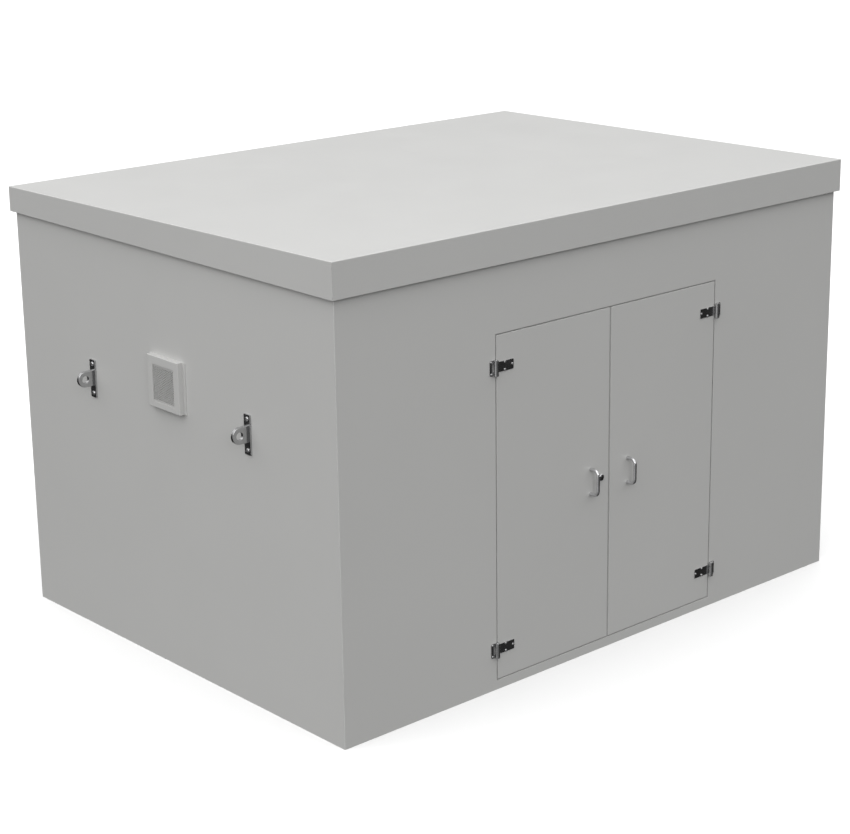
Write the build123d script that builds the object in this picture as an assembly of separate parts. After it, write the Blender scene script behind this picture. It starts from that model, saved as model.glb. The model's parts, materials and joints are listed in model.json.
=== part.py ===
from build123d import *
import math
import os

# Battery box: an insulated enclosure with a two-tier battery rack.
# Millimetres, +Z up. The origin is the centre of the base on the ground.
# The doors face -Y, and the vent and pad eyes are on the -X and +X walls.

# Driving dimensions
WIDTH = 2400.0            # over the walls, along X
DEPTH = 1800.0            # over the walls, along Y
WALL_HEIGHT = 1480.0      # ground to the underside of the roof cap
ROOF_FRONT = 1600.0       # top of the roof at the front
ROOF_BACK = 1570.0        # top of the roof at the back
OVERHANG = 15.0           # roof cap past the walls
SKIN = 3.0                # outer sheet
LINER = 2.0               # inner sheet
WALL = 50.0               # whole wall: skin, insulation and liner
DOORWAY_HALF = 538.0      # half the doorway's width
DOORWAY_LOW = 33.0
DOORWAY_HIGH = 1248.0
DOOR_THICK = 40.0
DOOR_GAP = 5.0            # round each leaf
MEETING_GAP = 7.0         # between the two leaves
BASE_HIGH = 30.0          # base rails
FLOOR_THICK = 4.0
HINGE_HEIGHTS = (146.0, 1136.0)
PIN_X = 541.0             # hinge pin's axis from the middle of the doorway
PIN_PROUD = 8.3           # hinge pin's axis in front of the wall
LOCK_X = -45.0
LOCK_HEIGHT = 644.0
HANDLE_X = 92.0
HANDLE_HEIGHT = 638.5
VENT_Y = -7.0
VENT_HEIGHT = 1029.0
PAD_EYE_Y = 448.0
PAD_EYE_HEIGHT = 952.0
BATTERIES_PER_TIER = 8
BATTERY = (240.0, 522.0, 205.0)

# Derived dimensions
HALF_W = WIDTH / 2
HALF_D = DEPTH / 2
ROOM_W = HALF_W - WALL
ROOM_D = HALF_D - WALL
SEAL = 3.0
WALL_TOP = WALL_HEIGHT - SEAL
FRAME = WALL - SKIN - LINER
DOOR_BACK = -HALF_D + DOOR_THICK
FLOOR_TOP = BASE_HIGH + FLOOR_THICK
SHEET = 2.0
PIN_Y = -HALF_D - PIN_PROUD
FRONT = -HALF_D


def block(x0, x1, y0, y1, z0, z1):
    """A block between two opposite corners."""
    middle = Pos((x0 + x1) / 2, (y0 + y1) / 2, (z0 + z1) / 2)
    return middle * Box(x1 - x0, y1 - y0, z1 - z0)


def bar(start, direction, radius, length):
    """A round bar from a point along a direction."""
    low = (Align.CENTER, Align.CENTER, Align.MIN)
    return Plane(origin=start, z_dir=direction) * Cylinder(radius, length, align=low)


def tube_x(x0, x1, y0, y1, z0, z1, wall=3.0):
    """A hollow square section that runs along X."""
    hollow = block(x0 - 1, x1 + 1, y0 + wall, y1 - wall, z0 + wall, z1 - wall)
    return block(x0, x1, y0, y1, z0, z1) - hollow


def tube_y(x0, x1, y0, y1, z0, z1, wall=3.0):
    """A hollow square section that runs along Y."""
    hollow = block(x0 + wall, x1 - wall, y0 - 1, y1 + 1, z0 + wall, z1 - wall)
    return block(x0, x1, y0, y1, z0, z1) - hollow


def tube_z(x0, x1, y0, y1, z0, z1, wall=3.0):
    """A hollow square section that stands along Z."""
    hollow = block(x0 + wall, x1 - wall, y0 + wall, y1 - wall, z0 - 1, z1 + 1)
    return block(x0, x1, y0, y1, z0, z1) - hollow


def both_sides(shape):
    """The shape and its mirror image on the other side of X = 0."""
    return [shape, mirror(shape, about=Plane.YZ)]


def front_and_back(shape):
    """The shape and its mirror image on the other side of Y = 0."""
    return [shape, mirror(shape, about=Plane.XZ)]


def screw(seat, direction, shank_r, length, head_r, head_h):
    """A pan-head screw: its shank runs along the direction, its head stands off the seat."""
    shank = bar(seat, direction, shank_r, length)
    back = tuple(-c for c in direction)
    head = bar(seat, back, head_r, head_h)
    crown = head.faces().sort_by(Axis(seat, back))[-1].edges()
    return shank + fillet(crown, head_h * 0.45)


# ---------------------------------------------------------------- base and floor

ANCHOR_X = 1100.0
ANCHOR_Y = 817.0
ANCHOR_R = 7.0
RAIL_WIDE = 60.0
CROSS_MEMBERS = 11


def anchor_holes():
    """The four upright holes that bolt the box to its plinth."""
    holes = []
    for x in (-ANCHOR_X, ANCHOR_X):
        for y in (-ANCHOR_Y, ANCHOR_Y):
            holes.append(bar((x, y, -1), (0, 0, 1), ANCHOR_R, FLOOR_TOP + 2))
    return holes


def base_rails():
    edge = HALF_D - SKIN
    rail = tube_x(-HALF_W + SKIN, HALF_W - SKIN, -edge, -edge + RAIL_WIDE, 0, BASE_HIGH)
    return front_and_back(rail)


def base_cross_members():
    """Evenly spaced members between the two rails; one passes under the middle."""
    reach = HALF_D - SKIN - RAIL_WIDE
    run = HALF_W - SKIN - RAIL_WIDE / 2
    members = []
    for i in range(CROSS_MEMBERS):
        x = -run + 2 * run * i / (CROSS_MEMBERS - 1)
        half = RAIL_WIDE / 2
        members.append(tube_y(x - half, x + half, -reach, reach, 0, BASE_HIGH))
    return members


def anchor_blocks():
    """Thick plates in the corners of the base that carry the anchor holes."""
    plates = []
    for x in (-ANCHOR_X, ANCHOR_X):
        for y in (-ANCHOR_Y, ANCHOR_Y):
            plates.append(block(x - 35, x + 35, y - 20, y + 20, 0, BASE_HIGH))
    return plates


def floor_panel():
    return block(-ROOM_W, ROOM_W, -ROOM_D, ROOM_D, BASE_HIGH, FLOOR_TOP)


# ---------------------------------------------------------------- walls

VENT_CUT = 65.0           # half the square vent hole
DOOR_FRAME_REACH = 25.0   # door frame's flange behind the wall skin
GLAND_X = 1115.0          # beside the rack's end
GLAND_HEIGHTS = (160.0, 230.0)
GLAND_BODY_R = 16.0


def doorway(y0, y1, grow=0.0):
    x = DOORWAY_HALF + grow
    return block(-x, x, y0, y1, DOORWAY_LOW - grow, DOORWAY_HIGH + grow)


def vent_block(x0, x1, half_wide, half_high, z=VENT_HEIGHT):
    """A block centred on the vent's axis."""
    return block(x0, x1, VENT_Y - half_wide, VENT_Y + half_wide, z - half_high, z + half_high)


def vent_hole(x0, x1):
    return vent_block(x0, x1, VENT_CUT, VENT_CUT)


def gland_holes():
    y = HALF_D - WALL - 1
    return [bar((GLAND_X, y, z), (0, 1, 0), GLAND_BODY_R, WALL + 2) for z in GLAND_HEIGHTS]


def front_wall():
    wall = block(-HALF_W, HALF_W, FRONT, FRONT + SKIN, 0, WALL_TOP)
    corners = wall.edges().filter_by(Axis.Z).sort_by(Axis.Y)[:2]
    return fillet(corners, SKIN * 0.8) - doorway(FRONT - 1, FRONT + SKIN + 1)


def back_wall():
    wall = block(-HALF_W, HALF_W, HALF_D - SKIN, HALF_D, 0, WALL_TOP)
    corners = wall.edges().filter_by(Axis.Z).sort_by(Axis.Y)[-2:]
    return fillet(corners, SKIN * 0.8) - gland_holes()


def left_wall():
    edge = HALF_D - SKIN
    wall = block(-HALF_W, -HALF_W + SKIN, -edge, edge, 0, WALL_TOP)
    return wall - vent_hole(-HALF_W - 1, -HALF_W + SKIN + 1)


def corner_posts():
    x = HALF_W - SKIN
    y = HALF_D - SKIN
    post = tube_z(x - FRAME, x, y - FRAME, y, BASE_HIGH, WALL_TOP - FRAME)
    posts = []
    for side in both_sides(post):
        posts += front_and_back(side)
    return posts


def top_rails():
    x = HALF_W - SKIN
    y = HALF_D - SKIN
    low = WALL_TOP - FRAME
    long_rail = tube_x(-x, x, y - FRAME, y, low, WALL_TOP)
    side_rail = tube_y(x - FRAME, x, -y + FRAME, y - FRAME, low, WALL_TOP)
    return front_and_back(long_rail) + both_sides(side_rail)


def wall_insulation():
    """One board in each wall, between the posts, the base and the top rail."""
    x = HALF_W - SKIN - FRAME
    y = HALF_D - SKIN - FRAME
    low = BASE_HIGH
    high = WALL_TOP - FRAME
    front = block(-x, x, -y - FRAME, -y, low, high)
    front -= block(-DOORWAY_HALF - 30, DOORWAY_HALF + 30, -y - 60, -y + 5, 0, DOORWAY_HIGH + 30)
    back = block(-x, x, y, y + FRAME, low, high) - gland_holes()
    side = block(x, x + FRAME, -y, y, low, high) - vent_hole(x - 1, x + FRAME + 1)
    return [front, back] + both_sides(side)


def front_liner():
    liner = block(-ROOM_W, ROOM_W, -ROOM_D - LINER, -ROOM_D, BASE_HIGH, WALL_TOP)
    x = DOORWAY_HALF + SKIN
    return liner - block(-x, x, -ROOM_D - 9, -ROOM_D + 9, 0, DOORWAY_HIGH + SKIN)


def back_liner():
    liner = block(-ROOM_W, ROOM_W, ROOM_D, ROOM_D + LINER, BASE_HIGH, WALL_TOP)
    return liner - gland_holes()


def side_liner():
    x = ROOM_W
    liner = block(x, x + LINER, -ROOM_D, ROOM_D, BASE_HIGH, WALL_TOP)
    return liner - vent_hole(x - 1, x + LINER + 1)


# ---------------------------------------------------------------- roof

def roof_wedge(inset, low, drop):
    """A slab under the sloping roof, set in from the fascia and down from the top."""
    y = HALF_D + OVERHANG - inset
    x = HALF_W + OVERHANG - inset
    outline = Polyline((-y, low), (y, low), (y, ROOF_BACK - drop), (-y, ROOF_FRONT - drop), close=True)
    face = make_face(Plane.YZ * outline)
    return extrude(face, amount=x, both=True)


def roof_cap():
    cap = roof_wedge(0, WALL_HEIGHT, 0)
    cap = fillet(cap.faces().sort_by(Axis.Z)[-1].edges(), 2.5)
    hollow = roof_wedge(SKIN, WALL_HEIGHT + SKIN, SKIN)
    mouth = block(-ROOM_W, ROOM_W, -ROOM_D, ROOM_D, WALL_HEIGHT - 1, WALL_HEIGHT + SKIN + 1)
    return cap - hollow - mouth


def roof_insulation():
    return roof_wedge(SKIN + 1, WALL_HEIGHT + SKIN, SKIN + 1)


def ceiling_liner():
    return block(-ROOM_W + 1, ROOM_W - 1, -ROOM_D + 1, ROOM_D - 1, WALL_HEIGHT, WALL_HEIGHT + SKIN)


def roof_seal():
    x = HALF_W - SKIN
    y = HALF_D - SKIN
    ring = block(-x, x, -y, y, WALL_TOP, WALL_HEIGHT)
    return ring - block(-ROOM_W, ROOM_W, -ROOM_D, ROOM_D, WALL_TOP - 1, WALL_HEIGHT + 1)


# ---------------------------------------------------------------- door frame

STOP_Y = DOOR_BACK + 4.0  # front of the stop flange
STOP_REACH = 20.0         # stop flange into the doorway
GAP_LIP_Y = FRONT + 3.5   # front of the lip that fills the gap round the leaves
GAP_LIP_WIDE = 4.2
GAP_LIP_DEEP = 14.0


def door_frame():
    """Folded frame: a lining, a flange behind the wall skin and a stop flange."""
    front = FRONT + SKIN
    lining = doorway(front, STOP_Y + SKIN, SKIN) - doorway(front - 1, STOP_Y + SKIN + 1)
    flange = block(
        -DOORWAY_HALF - DOOR_FRAME_REACH, DOORWAY_HALF + DOOR_FRAME_REACH,
        front, front + SKIN, DOORWAY_LOW - SKIN, DOORWAY_HIGH + DOOR_FRAME_REACH,
    )
    flange -= doorway(front - 1, front + SKIN + 1)
    stop = doorway(STOP_Y, STOP_Y + SKIN, 1) - doorway(STOP_Y - 1, STOP_Y + 9, -STOP_REACH)
    return lining + flange + stop


def door_seals():
    """A strip on the stop flange behind the closed leaves, and a lip in the gap round them."""
    stop = doorway(DOOR_BACK + 0.4, STOP_Y, -8) - doorway(DOOR_BACK - 1, STOP_Y + 1, -17)
    lip = doorway(GAP_LIP_Y, GAP_LIP_Y + GAP_LIP_DEEP)
    lip -= doorway(GAP_LIP_Y - 1, GAP_LIP_Y + GAP_LIP_DEEP + 1, -GAP_LIP_WIDE)
    return [stop, lip]


# ---------------------------------------------------------------- doors

LEAF_OUT = DOORWAY_HALF - DOOR_GAP
LEAF_IN = MEETING_GAP / 2
LEAF_LOW = DOORWAY_LOW + DOOR_GAP
LEAF_HIGH = DOORWAY_HIGH - DOOR_GAP
HANDLE_HALF = 45.0        # half the distance between the handle's feet
HANDLE_BAR_R = 6.0
HANDLE_PROUD = 43.0
HANDLE_BEND = 19.0
LOCK_BODY_R = 9.0
LOCK_FACE_R = 12.5
LOCK_FACE_PROUD = 10.0
PLUG_R = 6.0
RUN = 0.05                # radial clearance of what turns or slides in a hole
MEETING_LIP = 3.8         # seal strip into the gap between the leaves
CAM_FRONT = -851.5
CAM_THICK = 3.0


def leaf_holes(side):
    """Holes through a leaf for the handle's screws, and the lock on the left leaf."""
    back = FRONT - 1
    holes = []
    for z in (-HANDLE_HALF, HANDLE_HALF):
        centre = (side * HANDLE_X, back, HANDLE_HEIGHT + z)
        holes.append(bar(centre, (0, 1, 0), 3.2, DOOR_THICK + 2))
    if side < 0:
        centre = (LOCK_X, back, LOCK_HEIGHT)
        holes.append(bar(centre, (0, 1, 0), LOCK_BODY_R, DOOR_THICK + 2))
    return holes


def leaf_block(side, inset, y0, y1):
    x = sorted((side * (LEAF_IN + inset), side * (LEAF_OUT - inset)))
    return block(x[0], x[1], y0, y1, LEAF_LOW + inset, LEAF_HIGH - inset)


def door_skin(side):
    pan = leaf_block(side, 0, FRONT, DOOR_BACK)
    pan = fillet(pan.faces().sort_by(Axis.Y)[0].edges(), 1.2)
    return pan - leaf_block(side, SHEET, FRONT + SHEET, DOOR_BACK + 1) - leaf_holes(side)


def door_insulation(side):
    return leaf_block(side, SHEET, FRONT + SHEET, DOOR_BACK - SHEET) - leaf_holes(side)


def door_liner(side):
    return leaf_block(side, SHEET, DOOR_BACK - SHEET, DOOR_BACK) - leaf_holes(side)


def pull_handle(side):
    """A D of round bar with tapped feet."""
    x = side * HANDLE_X
    out = FRONT - HANDLE_PROUD + HANDLE_BAR_R
    low = HANDLE_HEIGHT - HANDLE_HALF
    high = HANDLE_HEIGHT + HANDLE_HALF
    path = FilletPolyline((x, FRONT, low), (x, out, low), (x, out, high), (x, FRONT, high), radius=HANDLE_BEND)
    start = Plane(origin=(x, FRONT, low), z_dir=(0, -1, 0))
    handle = sweep(start * Circle(HANDLE_BAR_R), path=path)
    for z in (low, high):
        handle -= bar((x, FRONT + 1, z), (0, -1, 0), 3.2, 13)
    return handle


def leaf_screws(side):
    """Handle screws from the inside and hinge screws from the outside."""
    screws = []
    for z in (-HANDLE_HALF, HANDLE_HALF):
        seat = (side * HANDLE_X, DOOR_BACK, HANDLE_HEIGHT + z)
        screws.append(screw(seat, (0, -1, 0), 3.0, DOOR_THICK + 11, 6.0, 3.5))
    for height in HINGE_HEIGHTS:
        for x, dz in DOOR_LEAF_SCREWS:
            seat = (side * (PIN_X - x), FRONT - LEAF_THICK, height + dz)
            screws.append(screw(seat, (0, 1, 0), 2.0, 12, 3.8, 2.2))
    return screws


def lock_housing():
    face = bar((LOCK_X, FRONT, LOCK_HEIGHT), (0, -1, 0), LOCK_FACE_R, LOCK_FACE_PROUD)
    face = fillet(face.faces().sort_by(Axis.Y)[0].edges(), 3.5)
    body = bar((LOCK_X, FRONT, LOCK_HEIGHT), (0, 1, 0), LOCK_BODY_R, DOOR_THICK + 8)
    bore = bar((LOCK_X, FRONT - 20, LOCK_HEIGHT), (0, 1, 0), PLUG_R + RUN, 80)
    return face + body - bore


def lock_nut():
    outline = RegularPolygon(14, 6)
    nut = extrude(Plane(origin=(LOCK_X, DOOR_BACK, LOCK_HEIGHT), z_dir=(0, 1, 0)) * outline, 5)
    return nut - bar((LOCK_X, DOOR_BACK - 1, LOCK_HEIGHT), (0, 1, 0), LOCK_BODY_R, 8)


def lock_plug():
    """The keyed barrel: a slot in its face and a square tail for the cam."""
    front = FRONT - LOCK_FACE_PROUD - 0.5
    plug = bar((LOCK_X, front, LOCK_HEIGHT), (0, 1, 0), PLUG_R, CAM_FRONT - front)
    slot = block(LOCK_X - 0.9, LOCK_X + 0.9, front - 1, front + 7, LOCK_HEIGHT - 3.6, LOCK_HEIGHT + 3.6)
    tail = block(LOCK_X - 4, LOCK_X + 4, CAM_FRONT, CAM_FRONT + CAM_THICK, LOCK_HEIGHT - 4, LOCK_HEIGHT + 4)
    return plug - slot + tail


def lock_cam():
    """The cam hangs down when unlocked and turns up behind the right leaf's keeper."""
    hub = bar((LOCK_X, CAM_FRONT, LOCK_HEIGHT), (0, 1, 0), 11, CAM_THICK)
    arm = block(LOCK_X - 8, LOCK_X + 8, CAM_FRONT, CAM_FRONT + CAM_THICK, LOCK_HEIGHT - 70, LOCK_HEIGHT)
    tip = arm.edges().filter_by(Axis.Y).sort_by(Axis.Z)[:2]
    square = block(LOCK_X - 4, LOCK_X + 4, CAM_FRONT - 1, CAM_FRONT + 9, LOCK_HEIGHT - 4, LOCK_HEIGHT + 4)
    return fillet(tip, 6) + hub - square


def cam_screw():
    seat = (LOCK_X, CAM_FRONT + CAM_THICK, LOCK_HEIGHT)
    head = bar(seat, (0, 1, 0), 7, 3)
    return fillet(head.faces().sort_by(Axis.Y)[-1].edges(), 1.2)


def lock_keeper():
    """Folded channel on the back of the right leaf; the cam turns in behind it."""
    keeper = block(5, 31, DOOR_BACK, CAM_FRONT - 0.6, LOCK_HEIGHT - 25, LOCK_HEIGHT + 25)
    return keeper - block(4, 32, DOOR_BACK - 1, CAM_FRONT - 2.6, LOCK_HEIGHT - 15, LOCK_HEIGHT + 15)


def meeting_seal():
    """Rubber strip on the right leaf's closing edge."""
    x = LEAF_IN - MEETING_LIP
    return block(x, LEAF_IN, GAP_LIP_Y, GAP_LIP_Y + 12, LEAF_LOW, LEAF_HIGH)


# ---------------------------------------------------------------- slide bolts

BOLT_X = 60.0
BOLT_Y = -846.0
BOLT_R = 5.0
BOLT_LONG = 150.0
BOLT_REST_GAP = 10.0      # bolt's end short of the stop flange at rest
BOLT_TOP = DOORWAY_HIGH - STOP_REACH - BOLT_REST_GAP
BOLT_BOTTOM = DOORWAY_LOW + STOP_REACH + BOLT_REST_GAP


def slide_bolt(end, inward):
    """A round bolt with a finger knob; inward is +1 where the rest of it runs up."""
    rod = bar((BOLT_X, BOLT_Y, end), (0, 0, inward), BOLT_R, BOLT_LONG)
    rod = chamfer(rod.edges().filter_by(GeomType.CIRCLE), 1.2)
    knob = bar((BOLT_X, BOLT_Y, end + inward * 75), (0, 1, 0), 4, 22)
    knob += bar((BOLT_X, BOLT_Y + 16, end + inward * 75), (0, 1, 0), 8, 10)
    return rod + knob


def bolt_guides():
    """Two bored blocks for each bolt, on the back of the right leaf."""
    guides = []
    for end, inward in ((BOLT_TOP, -1), (BOLT_BOTTOM, 1)):
        for offset in (25.0, 125.0):
            z = end + inward * offset
            guide = block(BOLT_X - 14, BOLT_X + 14, DOOR_BACK, BOLT_Y + 8, z - 8, z + 8)
            guide = chamfer(guide.edges().filter_by(Axis.Z).sort_by(Axis.Y)[-2:], 4)
            guides.append(guide - bar((BOLT_X, BOLT_Y, z - 9), (0, 0, 1), BOLT_R + RUN, 18))
    return guides


# ---------------------------------------------------------------- hinges

LEAF_THICK = 2.5
KNUCKLE_R = 8.0
KNUCKLE_SPLIT = 12.5
HINGE_HALF = 26.0
HINGE_OUT = 23.5          # wall leaf past the pin
HINGE_IN = 82.6           # door leaf past the pin
DOOR_LEAF_HALF = 17.0
PIN_R = 3.0
DOOR_LEAF_SCREWS = ((44.0, -13.0), (44.0, 13.0), (77.0, 0.0))
WALL_LEAF_SCREWS = ((16.5, -20.5), (16.5, 20.5))
SIDE_GAP = 0.3


def hinge_bore(z):
    return bar((PIN_X, PIN_Y, z - 40), (0, 0, 1), PIN_R + RUN, 80)


def wall_leaf(z):
    """The hinge's leaf on the wall, with the two outer knuckles."""
    leaf = block(PIN_X, PIN_X + HINGE_OUT, FRONT - LEAF_THICK, FRONT, z - HINGE_HALF, z + HINGE_HALF)
    corners = leaf.edges().filter_by(Axis.Y).sort_by(Axis.X)[-2:]
    leaf = chamfer(corners, 4)
    low = z - KNUCKLE_SPLIT - SIDE_GAP
    high = z + KNUCKLE_SPLIT + SIDE_GAP
    leaf -= block(PIN_X - 9, PIN_X + KNUCKLE_R + 1.5, FRONT - 9, FRONT + 1, low, high)
    for start in (z - HINGE_HALF, high):
        leaf += bar((PIN_X, PIN_Y, start), (0, 0, 1), KNUCKLE_R, low - z + HINGE_HALF)
    for x, dz in WALL_LEAF_SCREWS:
        leaf -= bar((PIN_X + x, FRONT - 9, z + dz), (0, 1, 0), 2.2, 10)
    return leaf - hinge_bore(z)


def door_leaf(z):
    """The hinge's longer leaf on the door: middle knuckle, arm and plate."""
    knuckle = bar((PIN_X, PIN_Y, z - KNUCKLE_SPLIT), (0, 0, 1), KNUCKLE_R, 2 * KNUCKLE_SPLIT)
    outer = FRONT - LEAF_THICK
    arm = block(LEAF_OUT - 4, PIN_X, outer, FRONT - SIDE_GAP, z - KNUCKLE_SPLIT, z + KNUCKLE_SPLIT)
    plate = block(PIN_X - HINGE_IN, LEAF_OUT - 3, outer, FRONT, z - DOOR_LEAF_HALF, z + DOOR_LEAF_HALF)
    plate = fillet(plate.edges().filter_by(Axis.Y), 3)
    leaf = knuckle + arm + plate
    for x, dz in DOOR_LEAF_SCREWS:
        leaf -= bar((PIN_X - x, FRONT - 9, z + dz), (0, 1, 0), 2.2, 10)
    return leaf - hinge_bore(z)


def hinge_pin(z):
    reach = HINGE_HALF + 0.3
    pin = bar((PIN_X, PIN_Y, z - reach), (0, 0, 1), PIN_R, 2 * reach)
    heads = [bar((PIN_X, PIN_Y, z + way * reach), (0, 0, way), 5.0, 2.0) for way in (-1, 1)]
    pin += heads
    rims = pin.edges().filter_by(GeomType.CIRCLE).sort_by(Axis.Z)
    return fillet([rims[0], rims[-1]], 1.0)


def hinge_wall_screws():
    screws = []
    for z in HINGE_HEIGHTS:
        for x, dz in WALL_LEAF_SCREWS:
            seat = (PIN_X + x, FRONT - LEAF_THICK, z + dz)
            screws += both_sides(screw(seat, (0, 1, 0), 2.0, 8, 3.6, 2.0))
    return screws


# ---------------------------------------------------------------- vents and pad eyes

FLANGE_HALF = 103.0       # half the flange's width; it is as high as the cowl
FLANGE_THICK = 2.5
COWL_WIDE = 89.0          # half the cowl, along Y
COWL_HIGH = 90.0          # half the cowl, along Z
COWL_DEEP = 21.0
GRILLE_WIDE = 59.5        # half the window, along Y
GRILLE_HIGH = 65.5        # half the window, along Z
GRILLE_DROP = 4.0         # window's centre below the cowl's
GRILLE_PITCH = 8.0
GRILLE_HOLE_R = 2.6


def vent_cowl():
    """Flange on the right wall and the box cowl that stands off it."""
    x = HALF_W
    flange = vent_block(x, x + FLANGE_THICK, FLANGE_HALF, COWL_HIGH)
    shell = vent_block(x, x + COWL_DEEP, COWL_WIDE, COWL_HIGH)
    shell = fillet(shell.faces().sort_by(Axis.X)[-1].edges(), 2.0)
    hollow = vent_block(x - 1, x + COWL_DEEP - SHEET, COWL_WIDE - SHEET, COWL_HIGH - SHEET)
    window = vent_block(x, x + 40, GRILLE_WIDE, GRILLE_HIGH, VENT_HEIGHT - GRILLE_DROP)
    return flange + shell - hollow - window


def vent_grille():
    """Perforated sheet behind the cowl's window, with staggered round holes."""
    x1 = HALF_W + COWL_DEEP - SHEET
    x0 = x1 - 1.5
    middle = VENT_HEIGHT - GRILLE_DROP
    sheet = vent_block(x0, x1, GRILLE_WIDE + 10, GRILLE_HIGH + 10, middle)
    column_pitch = GRILLE_PITCH * math.sqrt(3) / 2
    columns = int((GRILLE_WIDE - GRILLE_HOLE_R) / column_pitch)
    rows = int((GRILLE_HIGH - GRILLE_HOLE_R) / GRILLE_PITCH)
    holes = []
    for column in range(-columns, columns + 1):
        shift = GRILLE_PITCH / 2 if column % 2 else 0.0
        for row in range(-rows, rows + (0 if shift else 1)):
            centre = (x0 - 1, VENT_Y + column * column_pitch, middle + row * GRILLE_PITCH + shift)
            holes.append(bar(centre, (1, 0, 0), GRILLE_HOLE_R, 4))
    return sheet - holes


def vent_sleeve():
    """Square duct that lines the hole through the wall."""
    x0 = ROOM_W - 8
    x1 = HALF_W
    outer = vent_hole(x0, x1)
    half = VENT_CUT - SHEET
    return outer - vent_block(x0 - 1, x1 + 1, half, half)


PAD_WIDE = 31.0
PAD_HIGH = 136.0
PAD_THICK = 6.0
EYE_THICK = 12.0
EYE_LIFT = 3.0            # eye's centre above the plate's
EYE_ROOT_HALF = 29.0
EYE_TIP_R = 28.0
EYE_PROUD = 67.0
EYE_HOLE_R = 13.0
EYE_HOLE_OUT = 39.0
PAD_SCREW_Z = 53.0


def pad_eye(y):
    """Base plate with an upright D-shaped eye, on the right wall."""
    x = HALF_W
    z = PAD_EYE_HEIGHT
    plate = block(x, x + PAD_THICK, y - PAD_WIDE / 2, y + PAD_WIDE / 2, z - PAD_HIGH / 2, z + PAD_HIGH / 2)
    plate = fillet(plate.edges().filter_by(Axis.X), 3)
    start = x + PAD_THICK - 1
    centre = z + EYE_LIFT
    root_low = Vector(start, y, centre - EYE_ROOT_HALF)
    root_high = Vector(start, y, centre + EYE_ROOT_HALF)
    tip_low = Vector(x + EYE_PROUD - EYE_TIP_R, y, centre - EYE_TIP_R)
    tip_high = Vector(x + EYE_PROUD - EYE_TIP_R, y, centre + EYE_TIP_R)
    outline = Line(root_high, root_low) + Line(root_low, tip_low)
    outline += ThreePointArc(tip_low, Vector(x + EYE_PROUD, y, centre), tip_high)
    outline += Line(tip_high, root_high)
    face = make_face(outline)
    eye = extrude(face, amount=EYE_THICK / 2, dir=(0, 1, 0), both=True)
    eye -= bar((x + EYE_HOLE_OUT, y - 20, centre), (0, 1, 0), EYE_HOLE_R, 40)
    eye = fillet(eye.edges().filter_by(GeomType.CIRCLE), 1.5)
    pad = plate + eye
    for dz in (-PAD_SCREW_Z, PAD_SCREW_Z):
        pad -= bar((x - 1, y, z + dz), (1, 0, 0), 4.3, PAD_THICK + 2)
    return pad


def pad_eye_screws():
    screws = []
    for y in (-PAD_EYE_Y, PAD_EYE_Y):
        for dz in (-PAD_SCREW_Z, PAD_SCREW_Z):
            seat = (HALF_W + PAD_THICK, y, PAD_EYE_HEIGHT + dz)
            screws += both_sides(screw(seat, (-1, 0, 0), 4.0, 14, 7.0, 3.0))
    return screws


# ---------------------------------------------------------------- cable glands

GLAND_BORE_R = 10.5


def cable_gland(z):
    """Threaded body through the back wall, an outer hexagon and a domed cap."""
    body = bar((GLAND_X, ROOM_D - 10, z), (0, 1, 0), GLAND_BODY_R, WALL + 14)
    outside = Plane(origin=(GLAND_X, HALF_D, z), z_dir=(0, 1, 0))
    hexagon = extrude(outside * RegularPolygon(23, 6), 10)
    cap = bar((GLAND_X, HALF_D + 10, z), (0, 1, 0), 19, 20)
    cap = fillet(cap.faces().sort_by(Axis.Y)[-1].edges(), 5)
    inside = Plane(origin=(GLAND_X, ROOM_D - 8, z), z_dir=(0, 1, 0))
    locknut = extrude(inside * RegularPolygon(23, 6), 8)
    bore = bar((GLAND_X, ROOM_D - 30, z), (0, 1, 0), GLAND_BORE_R, 130)
    return body + hexagon + cap + locknut - bore


# ---------------------------------------------------------------- rack and batteries

RACK_FRONT = 285.0
RACK_BACK = 835.0
RACK_HALF = 1060.0
RACK_TUBE = 40.0
TIERS = (110.0, 620.0)    # top of each shelf
RACK_TOP = 1000.0
SHELF_THICK = 3.0
BATTERY_PITCH = 255.0
LID_HIGH = 14.0
POST_R = 9.0
POST_HIGH = 16.0
POST_IN = 45.0            # terminal from the battery's front and back


def rack_uprights():
    posts = []
    for x in (-RACK_HALF, 0.0, RACK_HALF):
        x0 = x - RACK_TUBE / 2
        x1 = x + RACK_TUBE / 2
        posts.append(tube_z(x0, x1, RACK_FRONT, RACK_FRONT + RACK_TUBE, FLOOR_TOP, RACK_TOP))
        posts.append(tube_z(x0, x1, RACK_BACK - RACK_TUBE, RACK_BACK, FLOOR_TOP, RACK_TOP))
    return posts


def rack_beams():
    """Long beams under each shelf and along the top, between the uprights."""
    beams = []
    half = RACK_TUBE / 2
    levels = [top - SHELF_THICK for top in TIERS] + [RACK_TOP]
    for top in levels:
        for y in (RACK_FRONT, RACK_BACK - RACK_TUBE):
            for x0, x1 in ((-RACK_HALF + half, -half), (half, RACK_HALF - half)):
                beams.append(tube_x(x0, x1, y, y + RACK_TUBE, top - RACK_TUBE, top))
    return beams


def rack_shelf(top):
    """A tray on the beams, notched round the uprights."""
    shelf = block(-RACK_HALF - 20, RACK_HALF + 20, RACK_FRONT, RACK_BACK, top - SHELF_THICK, top)
    half = RACK_TUBE / 2 + 1
    for x in (-RACK_HALF, 0.0, RACK_HALF):
        for y0, y1 in ((RACK_FRONT - 1, RACK_FRONT + 41), (RACK_BACK - 41, RACK_BACK + 1)):
            shelf -= block(x - half, x + half, y0, y1, top - 9, top + 9)
    return shelf


def battery_places():
    """Centre and foot of each battery on a tier; the middle uprights split the row."""
    half_row = BATTERIES_PER_TIER // 2
    for side in (-1, 1):
        for i in range(half_row):
            x = side * (RACK_TUBE / 2 + 15 + BATTERY[0] / 2 + i * BATTERY_PITCH)
            for top in TIERS:
                yield x, top


BATTERY_Y = (RACK_FRONT + RACK_BACK) / 2


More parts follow.
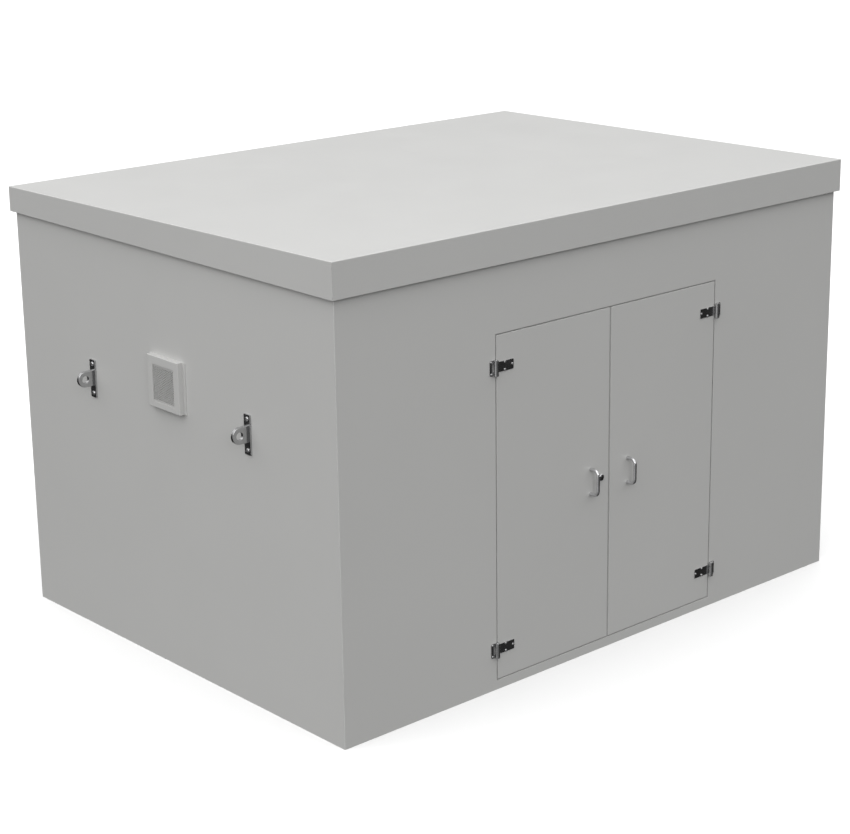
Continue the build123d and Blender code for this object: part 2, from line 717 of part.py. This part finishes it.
def battery_case(x, z):
    case = Pos(x, BATTERY_Y, z + BATTERY[2] / 2) * Box(*BATTERY)
    return fillet(case.edges().filter_by(Axis.Z), 6)


def battery_lid(x, z):
    low = z + BATTERY[2]
    lid = Pos(x, BATTERY_Y, low + LID_HIGH / 2) * Box(BATTERY[0], BATTERY[1], LID_HIGH)
    return fillet(lid.faces().sort_by(Axis.Z)[-1].edges(), 4)


def terminal_y(end):
    return BATTERY_Y + end * (BATTERY[1] / 2 - POST_IN)


def battery_terminals(x, z):
    low = z + BATTERY[2] + LID_HIGH
    return [bar((x, terminal_y(end), low), (0, 0, 1), POST_R, POST_HIGH) for end in (-1, 1)]


def battery_links():
    """Flat bars that join neighbouring batteries into strings of four."""
    low_above = BATTERY[2] + LID_HIGH
    links = []
    for top in TIERS:
        for side in (-1, 1):
            for i in range(BATTERIES_PER_TIER // 2 - 1):
                x = side * (RACK_TUBE / 2 + 15 + BATTERY[0] / 2 + i * BATTERY_PITCH)
                ends = sorted((x, x + side * BATTERY_PITCH))
                y = terminal_y(-1 if i % 2 else 1)
                z = top + low_above + POST_HIGH
                links.append(block(ends[0] - 12, ends[1] + 12, y - 12, y + 12, z, z + 4))
    return links


# ---------------------------------------------------------------- isolator

ISOLATOR_Y = -300.0
ISOLATOR_Z = 1150.0
ISOLATOR_X = -ROOM_W + 90.0


def isolator_box():
    box = block(-ROOM_W, ISOLATOR_X, ISOLATOR_Y - 90, ISOLATOR_Y + 90, ISOLATOR_Z - 130, ISOLATOR_Z + 130)
    box = fillet(box.faces().sort_by(Axis.X)[-1].edges(), 5)
    return box - bar((ISOLATOR_X + 1, ISOLATOR_Y, ISOLATOR_Z), (-1, 0, 0), 6 + RUN, 31)


def isolator_knob():
    """Rotary grip on a shaft in the box's cover; upright when off."""
    seat = (ISOLATOR_X + 1, ISOLATOR_Y, ISOLATOR_Z)
    knob = bar(seat, (-1, 0, 0), 6, 26)
    dial = bar(seat, (1, 0, 0), 32, 10)
    knob += fillet(dial.faces().sort_by(Axis.X)[-1].edges(), 2)
    x = ISOLATOR_X + 11
    grip = block(x, x + 22, ISOLATOR_Y - 8, ISOLATOR_Y + 8, ISOLATOR_Z - 30, ISOLATOR_Z + 30)
    return knob + fillet(grip.edges().filter_by(Axis.X), 6)


# ---------------------------------------------------------------- assembly

def save(name, pieces):
    """Write one node: one solid, or a group of separate solids."""
    solids = pieces if isinstance(pieces, list) else [pieces]
    export_step(Compound(children=[part.solid() for part in solids]), f"parts/{name}.step")


os.makedirs("parts", exist_ok=True)

save("base_rails", base_rails())
save("base_cross_members", base_cross_members())
save("base_anchor_blocks", [plate - anchor_holes() for plate in anchor_blocks()])
save("floor_panel", floor_panel() - anchor_holes())
save("front_wall", front_wall())
save("back_wall", back_wall())
save("left_wall", left_wall())
save("right_wall", mirror(left_wall(), about=Plane.YZ))
save("corner_posts", corner_posts())
save("top_rails", top_rails())
save("wall_insulation", wall_insulation())
save("front_liner", front_liner())
save("side_and_back_liners", both_sides(side_liner()) + [back_liner()])
save("roof_cap", roof_cap())
save("roof_insulation", roof_insulation())
save("ceiling_liner", ceiling_liner())
save("roof_seal", roof_seal())
save("door_frame", door_frame())
save("door_seals", door_seals())

for name, side in (("left", -1), ("right", 1)):
    leaves = [door_leaf(z) for z in HINGE_HEIGHTS]
    if side < 0:
        leaves = [mirror(leaf, about=Plane.YZ) for leaf in leaves]
    save(f"{name}_door_skin", door_skin(side))
    save(f"{name}_door_insulation", door_insulation(side))
    save(f"{name}_door_liner", door_liner(side))
    save(f"{name}_door_hinge_leaves", leaves)
    save(f"{name}_door_screws", leaf_screws(side))
    save(f"{name}_pull_handle", pull_handle(side))

save("lock_housing", lock_housing())
save("lock_nut", lock_nut())
save("lock_plug", lock_plug())
save("lock_cam", [lock_cam(), cam_screw()])
save("lock_keeper", lock_keeper())
save("meeting_seal", meeting_seal())
save("top_slide_bolt", slide_bolt(BOLT_TOP, -1))
save("bottom_slide_bolt", slide_bolt(BOLT_BOTTOM, 1))
save("bolt_guides", bolt_guides())

save("hinge_wall_leaves", [leaf for z in HINGE_HEIGHTS for leaf in both_sides(wall_leaf(z))])
save("hinge_pins", [pin for z in HINGE_HEIGHTS for pin in both_sides(hinge_pin(z))])
save("wall_screws", hinge_wall_screws() + pad_eye_screws())

for name, build in (("vent_cowl", vent_cowl), ("vent_grille", vent_grille)):
    save(f"right_{name}", build())
    save(f"left_{name}", mirror(build(), about=Plane.YZ))
save("vent_sleeves", both_sides(vent_sleeve()))

pad_eyes = [pad_eye(y) for y in (-PAD_EYE_Y, PAD_EYE_Y)]
save("right_pad_eyes", pad_eyes)
save("left_pad_eyes", [mirror(eye, about=Plane.YZ) for eye in pad_eyes])
save("cable_glands", [cable_gland(z) for z in GLAND_HEIGHTS])

save("rack_uprights", rack_uprights())
save("rack_beams", rack_beams())
save("rack_shelves", [rack_shelf(top) for top in TIERS])
save("battery_cases", [battery_case(x, z) for x, z in battery_places()])
save("battery_lids", [battery_lid(x, z) for x, z in battery_places()])
save("battery_terminals", [post for x, z in battery_places() for post in battery_terminals(x, z)])
save("battery_links", battery_links())
save("isolator_box", isolator_box())
save("isolator_knob", isolator_knob())
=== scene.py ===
"""Battery box: materials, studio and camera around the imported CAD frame. Metres, +Z up."""
import json
import math

import bmesh
import bpy
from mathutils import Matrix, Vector


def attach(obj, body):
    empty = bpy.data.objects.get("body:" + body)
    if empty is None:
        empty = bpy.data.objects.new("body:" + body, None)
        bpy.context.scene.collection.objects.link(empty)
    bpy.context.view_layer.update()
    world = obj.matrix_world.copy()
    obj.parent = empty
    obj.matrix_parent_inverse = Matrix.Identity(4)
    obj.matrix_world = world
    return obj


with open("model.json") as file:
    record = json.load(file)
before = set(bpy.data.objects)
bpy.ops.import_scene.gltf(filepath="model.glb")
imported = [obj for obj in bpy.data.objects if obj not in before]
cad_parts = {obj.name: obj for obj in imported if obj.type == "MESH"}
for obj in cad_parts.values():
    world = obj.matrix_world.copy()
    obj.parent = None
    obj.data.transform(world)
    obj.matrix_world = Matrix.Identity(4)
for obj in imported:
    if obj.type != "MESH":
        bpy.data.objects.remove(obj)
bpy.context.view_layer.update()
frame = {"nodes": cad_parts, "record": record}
NODES = frame["nodes"]


# ---------------------------------------------------------------- shader helpers

class Shader:
    """A material's node tree with short calls for the nodes that the finishes share."""

    def __init__(self, name):
        self.material = bpy.data.materials.new(name)
        self.material.use_nodes = True
        self.tree = self.material.node_tree
        self.tree.nodes.clear()
        self.output = self.add("ShaderNodeOutputMaterial")
        self.surface = self.add("ShaderNodeBsdfPrincipled")
        self.link(self.surface, "BSDF", self.output, "Surface")
        self.place = self.add("ShaderNodeTexCoord")

    def add(self, kind, **values):
        node = self.tree.nodes.new(kind)
        for key, value in values.items():
            setattr(node, key, value)
        return node

    def link(self, source, out, target, into):
        self.tree.links.new(source.outputs[out], target.inputs[into])

    def set(self, **values):
        """Constants on the principled shader's own sockets."""
        for key, value in values.items():
            self.surface.inputs[key.replace("_", " ")].default_value = value

    def mapping(self, scale):
        """The rest-pose position, stretched along each axis."""
        node = self.add("ShaderNodeMapping")
        node.inputs["Scale"].default_value = scale
        self.link(self.place, "Object", node, "Vector")
        return node

    def noise(self, scale, detail=3.0, rough=0.5, stretch=(1, 1, 1)):
        node = self.add("ShaderNodeTexNoise")
        node.inputs["Scale"].default_value = scale
        node.inputs["Detail"].default_value = detail
        node.inputs["Roughness"].default_value = rough
        self.link(self.mapping(stretch), "Vector", node, "Vector")
        return node

    def cells(self, scale):
        """Distance to the nearest of many scattered points."""
        node = self.add("ShaderNodeTexVoronoi")
        node.inputs["Scale"].default_value = scale
        self.link(self.place, "Object", node, "Vector")
        return node

    def spread(self, texture, low, high, start=0.3, end=0.7):
        """Map a texture's value between start and end onto low to high."""
        node = self.add("ShaderNodeMapRange")
        node.inputs["From Min"].default_value = start
        node.inputs["From Max"].default_value = end
        node.inputs["To Min"].default_value = low
        node.inputs["To Max"].default_value = high
        self.link(texture, value_of(texture), node, "Value")
        return node

    def blend(self, factor, first, second):
        """Mix two colours by a spread; a colour is a tuple or another blend."""
        node = self.add("ShaderNodeMix", data_type="RGBA")
        self.tree.links.new(factor.outputs["Result"], node.inputs[0])
        for socket, colour in ((6, first), (7, second)):
            if isinstance(colour, tuple):
                node.inputs[socket].default_value = (*colour, 1.0)
            else:
                self.tree.links.new(mixed(colour), node.inputs[socket])
        return node

    def mottle(self, texture, colour, dark, light):
        """A colour that wanders between two shades of itself."""
        return self.blend(self.spread(texture, 0, 1), shade(colour, dark), shade(colour, light))

    def colour(self, blend):
        self.tree.links.new(mixed(blend), self.surface.inputs["Base Color"])

    def roughness(self, texture, low, high):
        self.link(self.spread(texture, low, high), "Result", self.surface, "Roughness")

    def bump(self, texture, strength, distance, below=None):
        node = self.add("ShaderNodeBump")
        node.inputs["Strength"].default_value = strength
        node.inputs["Distance"].default_value = distance
        self.link(texture, value_of(texture), node, "Height")
        if below:
            self.link(below, "Normal", node, "Normal")
        self.link(node, "Normal", self.surface, "Normal")

    def bevel(self, radius):
        """Softens the shading of sheet edges."""
        node = self.add("ShaderNodeBevel", samples=4)
        node.inputs["Radius"].default_value = radius
        return node


def value_of(texture):
    """The name of a texture's plain value."""
    return "Distance" if texture.bl_idname == "ShaderNodeTexVoronoi" else "Fac"


def mixed(blend):
    """The colour output of a mix node; its outputs for other data types share the name."""
    return blend.outputs[2]


def shade(colour, factor):
    return tuple(min(1.0, channel * factor) for channel in colour)


# ---------------------------------------------------------------- finishes

def powder_coat(name, colour, roughness=0.38, peel=0.00012, variation=0.03, edge=0.0, coat=0.0):
    """Baked powder coat: orange peel, faint cloudiness and a little uneven gloss."""
    s = Shader(name)
    tint = s.mottle(s.noise(1.7, detail=5.0, rough=0.6), colour, 1 - variation, 1 + variation)
    fleck = s.spread(s.noise(900.0, detail=2.0), 0.0, 0.12, start=0.55, end=0.75)
    s.colour(s.blend(fleck, tint, shade(colour, 0.86)))
    s.roughness(s.noise(6.0, detail=4.0), roughness - 0.02, roughness + 0.03)
    s.set(Metallic=0.0, Specular_IOR_Level=0.5, Coat_Weight=coat, Coat_Roughness=0.18)
    below = s.bevel(edge) if edge else None
    s.bump(s.noise(320.0, detail=2.0, rough=0.4), strength=0.35, distance=peel, below=below)
    return s.material


def polished_steel(name, colour, roughness=0.12):
    """Polished bar and turned parts: faint drawn lines and handling smears."""
    s = Shader(name)
    smear = s.noise(40.0, detail=4.0)
    s.colour(s.mottle(smear, colour, 0.92, 1.05))
    s.roughness(smear, roughness - 0.03, roughness + 0.06)
    s.set(Metallic=1.0)
    s.bump(s.noise(700.0, detail=2.0, stretch=(1, 1, 0.04)), strength=0.15, distance=0.00003)
    return s.material


def satin_steel(name, colour, roughness=0.28, grain=(0.05, 1, 1)):
    """Brushed sheet and castings: fine grain along one way, with darker patches."""
    s = Shader(name)
    grain_lines = s.noise(1400.0, detail=3.0, stretch=grain)
    patch = s.noise(22.0, detail=4.0)
    lines = s.mottle(grain_lines, colour, 0.86, 1.1)
    s.colour(s.blend(s.spread(patch, 0.0, 0.5), lines, shade(colour, 0.8)))
    s.roughness(patch, roughness - 0.05, roughness + 0.08)
    s.set(Metallic=1.0)
    s.bump(grain_lines, strength=0.25, distance=0.00004)
    return s.material


def moulded_plastic(name, colour, roughness=0.5):
    """Moulded plastic with a fine spark-eroded texture."""
    s = Shader(name)
    cloud = s.noise(12.0, detail=3.0)
    s.colour(s.mottle(cloud, colour, 0.93, 1.07))
    s.roughness(cloud, roughness - 0.05, roughness + 0.07)
    s.bump(s.noise(600.0, detail=2.0), strength=0.4, distance=0.0001)
    return s.material


def foam(name, colour):
    """Closed-cell insulation board."""
    s = Shader(name)
    cells = s.cells(260.0)
    s.colour(s.blend(s.spread(cells, 0, 1, start=0.0, end=0.9), shade(colour, 0.82), shade(colour, 1.06)))
    s.set(Roughness=0.9)
    s.bump(cells, strength=0.5, distance=0.0008)
    return s.material


def rubber(name, colour, dusty=2.2):
    """Matt extruded rubber with dust on it, in a shade so many times as bright."""
    s = Shader(name)
    dust = s.noise(90.0, detail=5.0)
    s.colour(s.blend(s.spread(dust, 0, 1, start=0.45, end=0.8), colour, shade(colour, dusty)))
    s.roughness(dust, 0.7, 0.9)
    s.bump(s.noise(500.0), strength=0.3, distance=0.0001)
    return s.material


def mill_plate(name, colour):
    """Aluminium floor plate: rolling lines, scuffs and a dull mottle."""
    s = Shader(name)
    rolling = s.noise(260.0, detail=4.0, stretch=(0.02, 1, 1))
    scuff = s.noise(9.0, detail=8.0, rough=0.7)
    lines = s.mottle(rolling, colour, 0.85, 1.08)
    s.colour(s.blend(s.spread(scuff, 0.0, 0.5, start=0.5, end=0.75), lines, shade(colour, 0.75)))
    s.roughness(scuff, 0.4, 0.65)
    s.set(Metallic=0.55)
    s.bump(rolling, strength=0.3, distance=0.0001)
    return s.material


PAINT = (0.57, 0.57, 0.56)
CHROME = (0.62, 0.62, 0.63)
STEEL = (0.55, 0.55, 0.555)
ZINC = (0.6, 0.62, 0.66)
FRAME_GREY = (0.26, 0.26, 0.265)
LINER_WHITE = (0.80, 0.80, 0.78)
ALUMINIUM = (0.58, 0.58, 0.59)
FOAM_BUFF = (0.78, 0.70, 0.50)
RUBBER_BLACK = (0.02, 0.02, 0.021)
SEAL_GREY = (0.36, 0.36, 0.355)
RACK_GREY = (0.13, 0.14, 0.155)
CASE_BLACK = (0.07, 0.072, 0.077)
LID_GREY = (0.22, 0.225, 0.23)
BRASS = (0.78, 0.56, 0.25)
COPPER = (0.75, 0.42, 0.27)
GLAND_BLACK = (0.16, 0.16, 0.165)
ISOLATOR_GREY = (0.66, 0.66, 0.63)
KNOB_RED = (0.55, 0.03, 0.025)
EVEN_GRAIN = (1, 1, 1)
UPRIGHT_GRAIN = (1, 1, 0.05)

RECIPES = {
    "wall_paint": (powder_coat, PAINT, dict(variation=0.010, edge=0.0012, coat=0.4)),
    # The grille is the wall paint darkened to 0.84: painted shade standing in for the shade inside the
    # recessed vent.
    "grille_metal": (powder_coat, shade(PAINT, 0.84), dict(variation=0.012, edge=0.0006)),
    "polished_steel": (polished_steel, CHROME, {}),
    "stainless": (satin_steel, STEEL, dict(roughness=0.2)),
    # The screws are the steel colour brightened 1.45 times: a painted highlight, so the small heads show
    # bright.
    "screw_steel": (satin_steel, shade(STEEL, 1.45), dict(roughness=0.33, grain=EVEN_GRAIN)),
    "zinc_steel": (satin_steel, ZINC, dict(roughness=0.35, grain=UPRIGHT_GRAIN)),
    "frame_steel": (powder_coat, FRAME_GREY, dict(roughness=0.5, peel=0.0002, edge=0.001)),
    "liner_sheet": (powder_coat, LINER_WHITE, dict(roughness=0.42, edge=0.001)),
    "floor_plate": (mill_plate, ALUMINIUM, {}),
    "insulation": (foam, FOAM_BUFF, {}),
    "seal_rubber": (rubber, RUBBER_BLACK, {}),
    "gap_seal": (rubber, SEAL_GREY, dict(dusty=1.15)),
    "rack_steel": (powder_coat, RACK_GREY, dict(roughness=0.45, variation=0.08, edge=0.0015)),
    "battery_case": (moulded_plastic, CASE_BLACK, {}),
    "battery_lid": (moulded_plastic, LID_GREY, {}),
    "terminal_brass": (satin_steel, BRASS, dict(roughness=0.25, grain=EVEN_GRAIN)),
    "link_metal": (satin_steel, COPPER, dict(roughness=0.3)),
    "gland_plastic": (moulded_plastic, GLAND_BLACK, {}),
    "isolator_plastic": (moulded_plastic, ISOLATOR_GREY, dict(roughness=0.42)),
    "knob_plastic": (moulded_plastic, KNOB_RED, dict(roughness=0.3)),
}
FINISHES = {slot: make(slot, colour, **extra) for slot, (make, colour, extra) in RECIPES.items()}


def assign_finishes():
    for part in frame["record"]["subparts"]:
        mesh = NODES[part["node"]].data
        mesh.materials.clear()
        mesh.materials.append(FINISHES[part["material_slot"]])


assign_finishes()


# ---------------------------------------------------------------- making small pieces

MM = 0.001
MERGE_WITHIN = 1e-6       # points of a lathe profile on its axis become one
CREASE = 35               # degrees; faces that meet more sharply keep a crisp edge
CHAMFER = 0.35            # of half a handle strip's thickness
SQUARED = 0.6             # 1 gives a half ellipse, less gives squarer shoulders


def build_piece(name, verts, faces, slot, body):
    """A mesh piece with merged poles, smooth faces and crisp corners, riding on a body."""
    mesh = bpy.data.meshes.new(name)
    mesh.from_pydata(verts, [], faces)
    work = bmesh.new()
    work.from_mesh(mesh)
    bmesh.ops.remove_doubles(work, verts=work.verts, dist=MERGE_WITHIN)
    bmesh.ops.recalc_face_normals(work, faces=work.faces)
    work.to_mesh(mesh)
    work.free()
    mesh.polygons.foreach_set("use_smooth", [True] * len(mesh.polygons))
    mesh.set_sharp_from_angle(angle=math.radians(CREASE))
    mesh.materials.append(FINISHES[slot])
    piece = bpy.data.objects.new(name, mesh)
    bpy.context.scene.collection.objects.link(piece)
    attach(piece, body)


def turned(name, profile, places, slot, body, sides=28, along=(0, 0, 1), ring=False):
    """A lathe profile of (radius, height) in mm at each place; a ring's profile closes on itself."""
    turn = Vector((0, 0, 1)).rotation_difference(Vector(along)).to_matrix()
    count = len(profile)
    steps = count if ring else count - 1
    verts, faces = [], []
    for place in places:
        base = len(verts)
        for side in range(sides):
            angle = 2 * math.pi * (side + 0.5) / sides
            for radius, height in profile:
                point = Vector((radius * math.cos(angle), radius * math.sin(angle), height))
                verts.append(Vector(place) + turn @ (point * MM))
        for side in range(sides):
            here = base + side * count
            there = base + (side + 1) % sides * count
            for k in range(steps):
                n = (k + 1) % count
                faces.append((here + k, there + k, there + n, here + n))
    build_piece(name, verts, faces, slot, body)


def strip_outline(half_wide, half_thick):
    """The corners of a flat strip's section, all four chamfered, in order around it."""
    edge = CHAMFER * half_thick
    outline = []
    for y, t in ((1, 1), (-1, 1), (-1, -1), (1, -1)):
        side = (y * half_wide, t * (half_thick - edge))
        face = (y * (half_wide - edge), t * half_thick)
        outline += (side, face) if y * t > 0 else (face, side)
    return outline


def arches(name, places, slot, body, half_span, rise, half_wide, half_thick, steps=18):
    """Flat lifting handles: a chamfered strip that arches over along X."""
    outline = strip_outline(half_wide, half_thick)
    count = len(outline)
    verts, faces = [], []
    for place in places:
        base = len(verts)
        for i in range(steps + 1):
            angle = math.pi * (1 - i / steps)
            x = half_span * math.copysign(abs(math.cos(angle)) ** SQUARED, math.cos(angle))
            z = rise * math.sin(angle) ** SQUARED
            outward = Vector((x / half_span ** 2, 0, z / rise ** 2)).normalized()
            for y, t in outline:
                verts.append(Vector(place) + Vector((x, y, z)) + outward * t)
        for i in range(steps):
            here = base + i * count
            for k in range(count):
                n = (k + 1) % count
                faces.append((here + k, here + n, here + count + n, here + count + k))
        faces.append(tuple(base + k for k in range(count)))
        faces.append(tuple(base + steps * count + k for k in range(count)))
    build_piece(name, verts, faces, slot, body)


# ---------------------------------------------------------------- battery details

SHELF_TOPS = (0.110, 0.620)
LID_ABOVE_SHELF = 0.219
BATTERY_X = (0.155, 0.410, 0.665, 0.920)
BATTERY_Y = 0.560
TERMINAL_REACH = 0.216    # terminals from the battery's middle
POST_HIGH = 0.016
LINK_THICK = 0.004
CAP_COUNT = 6
CAP_PITCH = 0.052
HANDLE_REACH = 0.246      # lifting handles from the battery's middle
HANDLE = dict(half_span=0.062, rise=0.022, half_wide=0.009, half_thick=0.0028)

VENT_CAP = (
    (0, 0), (15, 0), (15, 3.2), (14, 4.2), (10.5, 4.4),
    (9.8, 6.6), (8.8, 7.4), (3.2, 7.4), (2.6, 5.6), (0, 5.6),
)
TERMINAL_RING = ((9.3, 0), (17, 0), (17, 2.2), (16, 3.2), (10.2, 3.2), (9.3, 2.4))
WASHER = ((0, 0), (10, 0), (10, 1.2), (9.5, 1.6), (0, 1.6))
BOLT_HEAD = ((0, 1.6), (7.5, 1.6), (7.5, 6.2), (6.6, 7.0), (0, 7.0))


def battery_details():
    """Vent caps, lifting handles, terminal rings and terminal bolts on every battery."""
    caps, handles, front_rings, back_rings, bolts = [], [], [], [], []
    for shelf in SHELF_TOPS:
        lid = shelf + LID_ABOVE_SHELF
        for side in (-1, 1):
            for offset in BATTERY_X:
                x = side * offset
                for k in range(CAP_COUNT):
                    caps.append((x, BATTERY_Y + CAP_PITCH * (k - (CAP_COUNT - 1) / 2), lid))
                for end in (-1, 1):
                    handles.append((x, BATTERY_Y + end * HANDLE_REACH, lid))
                front_rings.append((x, BATTERY_Y - TERMINAL_REACH, lid))
                back_rings.append((x, BATTERY_Y + TERMINAL_REACH, lid))
                for end in (-1, 1):
                    no_link = end < 0 and offset in (BATTERY_X[0], BATTERY_X[-1])
                    top = lid + POST_HIGH + (0 if no_link else LINK_THICK)
                    bolts.append((x, BATTERY_Y + end * TERMINAL_REACH, top))
    turned("battery_vent_caps", VENT_CAP, caps, "battery_case", "enclosure")
    turned("front_terminal_rings", TERMINAL_RING, front_rings, "knob_plastic", "enclosure", ring=True)
    turned("back_terminal_rings", TERMINAL_RING, back_rings, "battery_case", "enclosure", ring=True)
    turned("terminal_washers", WASHER, bolts, "screw_steel", "enclosure")
    turned("terminal_bolt_heads", BOLT_HEAD, bolts, "screw_steel", "enclosure", sides=6)
    arches("battery_handles", handles, "battery_case", "enclosure", **HANDLE)


battery_details()


# ---------------------------------------------------------------- isolator details

COVER_MIDDLE = (-1.060, -0.300, 1.150)    # on the cover's face, which looks along +X
COVER_SCREW_Y = 0.074     # screws from the cover's middle
COVER_SCREW_Z = 0.112
COVER_SCREW = ((0, 0), (6.2, 0), (6.2, 1.2), (5.2, 2.4), (2.2, 2.6), (2.0, 1.4), (0, 1.4))
DIAL_RING = ((7.5, 0), (46, 0), (46, 0.4), (45.5, 0.7), (7.5, 0.7))
FACING = (1, 0, 0)


def isolator_details():
    """Cover screws and the ring behind the dial."""
    x, y, z = COVER_MIDDLE
    corners = [(x, y + a * COVER_SCREW_Y, z + b * COVER_SCREW_Z) for a in (-1, 1) for b in (-1, 1)]
    turned("isolator_cover_screws", COVER_SCREW, corners, "screw_steel", "enclosure", along=FACING)
    turned(
        "isolator_dial_ring", DIAL_RING, [COVER_MIDDLE], "battery_case", "enclosure",
        sides=64, along=FACING, ring=True,
    )


isolator_details()


# ---------------------------------------------------------------- studio

FLOOR_HALF = 60.0
FLOOR_WHITE = (0.95, 0.95, 0.95, 1.0)
SKY_TOP = 1.85            # radiance overhead, falling to none at the horizon
GROUND_GLOW = 0.14        # light from below, in place of the floor's own bounce
HORIZON_BAND = 0.05       # height over which the glow fades out, on both sides of the horizon
DARK_CARD = 0.028         # what metal mirrors at and below the horizon
GREY_CARD = 0.22          # the paler patch of it, to the front left
CARD_TOWARDS = (-0.66, -0.69, -0.28)
CARD_EDGE = (0.35, 0.95)  # how squarely a ray must point there, from no patch to its full grey
KEY_TOWARDS = (-0.41, -0.82, 0.41)
FILL_TOWARDS = (-1.0, 0.0, 0.35)


def studio_floor():
    """A pale floor that takes the shadows; metal doesn't mirror it and it lights nothing."""
    mesh = bpy.data.meshes.new("studio_floor")
    h = FLOOR_HALF
    mesh.from_pydata([(-h, -h, 0), (h, -h, 0), (h, h, 0), (-h, h, 0)], [], [(0, 1, 2, 3)])
    floor = bpy.data.objects.new("studio_floor", mesh)
    bpy.context.scene.collection.objects.link(floor)
    s = Shader("studio_floor")
    s.set(Base_Color=FLOOR_WHITE, Roughness=0.9, Specular_IOR_Level=0.0)
    mesh.materials.append(s.material)
    floor.visible_glossy = False
    floor.visible_diffuse = False


def sun(name, towards, strength, angle):
    """An even soft light from one direction; the angle is how broad it is, in degrees."""
    data = bpy.data.lights.new(name, "SUN")
    data.energy = strength
    data.angle = math.radians(angle)
    light = bpy.data.objects.new(name, data)
    light.rotation_euler = Vector(towards).to_track_quat("Z", "Y").to_euler()
    bpy.context.scene.collection.objects.link(light)


def studio_world():
    """A surround that is bright overhead and glows faintly from the ground. The camera sees it as
    plain white, and metal mirrors dark cards at and below the horizon, with one paler patch."""
    world = bpy.data.worlds.new("studio")
    bpy.context.scene.world = world
    world.use_nodes = True
    tree = world.node_tree
    tree.nodes.clear()

    def ramp(source, start, end, low, high, smooth=False):
        node = tree.nodes.new("ShaderNodeMapRange")
        node.interpolation_type = "SMOOTHSTEP" if smooth else "LINEAR"
        for name, value in (("From Min", start), ("From Max", end), ("To Min", low), ("To Max", high)):
            node.inputs[name].default_value = value
        tree.links.new(source, node.inputs["Value"])
        return node.outputs["Result"]

    def maths(operation, first, second):
        node = tree.nodes.new("ShaderNodeMath")
        node.operation = operation
        tree.links.new(first, node.inputs[0])
        tree.links.new(second, node.inputs[1])
        return node.outputs["Value"]

    towards = tree.nodes.new("ShaderNodeTexCoord").outputs["Generated"]
    parts = tree.nodes.new("ShaderNodeSeparateXYZ")
    tree.links.new(towards, parts.inputs["Vector"])
    height = parts.outputs["Z"]
    sky = ramp(height, 0.0, 1.0, 0.0, SKY_TOP)
    glow = ramp(height, -HORIZON_BAND, HORIZON_BAND, GROUND_GLOW, 0.0)
    aim = tree.nodes.new("ShaderNodeVectorMath")
    aim.operation = "DOT_PRODUCT"
    aim.inputs[1].default_value = CARD_TOWARDS
    tree.links.new(towards, aim.inputs[0])
    cards = ramp(aim.outputs["Value"], *CARD_EDGE, DARK_CARD, GREY_CARD, smooth=True)
    rays = tree.nodes.new("ShaderNodeLightPath").outputs
    choose = tree.nodes.new("ShaderNodeMix")
    tree.links.new(rays["Is Glossy Ray"], choose.inputs[0])
    tree.links.new(maths("ADD", maths("ADD", sky, glow), rays["Is Camera Ray"]), choose.inputs[2])
    tree.links.new(maths("MAXIMUM", sky, cards), choose.inputs[3])
    background = tree.nodes.new("ShaderNodeBackground")
    tree.links.new(choose.outputs[0], background.inputs["Color"])
    output = tree.nodes.new("ShaderNodeOutputWorld")
    tree.links.new(background.outputs["Background"], output.inputs["Surface"])


studio_floor()
studio_world()
sun("key", KEY_TOWARDS, strength=0.55, angle=22)
sun("left_fill", FILL_TOWARDS, strength=0.85, angle=84)
bpy.context.scene.view_settings.view_transform = "Standard"


# ---------------------------------------------------------------- camera

CAMERA_PLACE = (-5.0730, -5.7682, 3.0425)
CAMERA_TILT = 73.88       # degrees from straight down
CAMERA_TURN = -43.97      # degrees about the vertical
SENSOR = 36.0             # mm
LENS = 90.30              # mm
SHIFT = (-0.1248, -0.0524)
SEES_TO = 200.0


def camera():
    data = bpy.data.cameras.new("camera")
    data.sensor_width = SENSOR
    data.lens = LENS
    data.shift_x, data.shift_y = SHIFT
    data.clip_end = SEES_TO
    eye = bpy.data.objects.new("camera", data)
    eye.location = CAMERA_PLACE
    eye.rotation_euler = (math.radians(CAMERA_TILT), 0, math.radians(CAMERA_TURN))
    bpy.context.scene.collection.objects.link(eye)
    bpy.context.scene.camera = eye


camera()
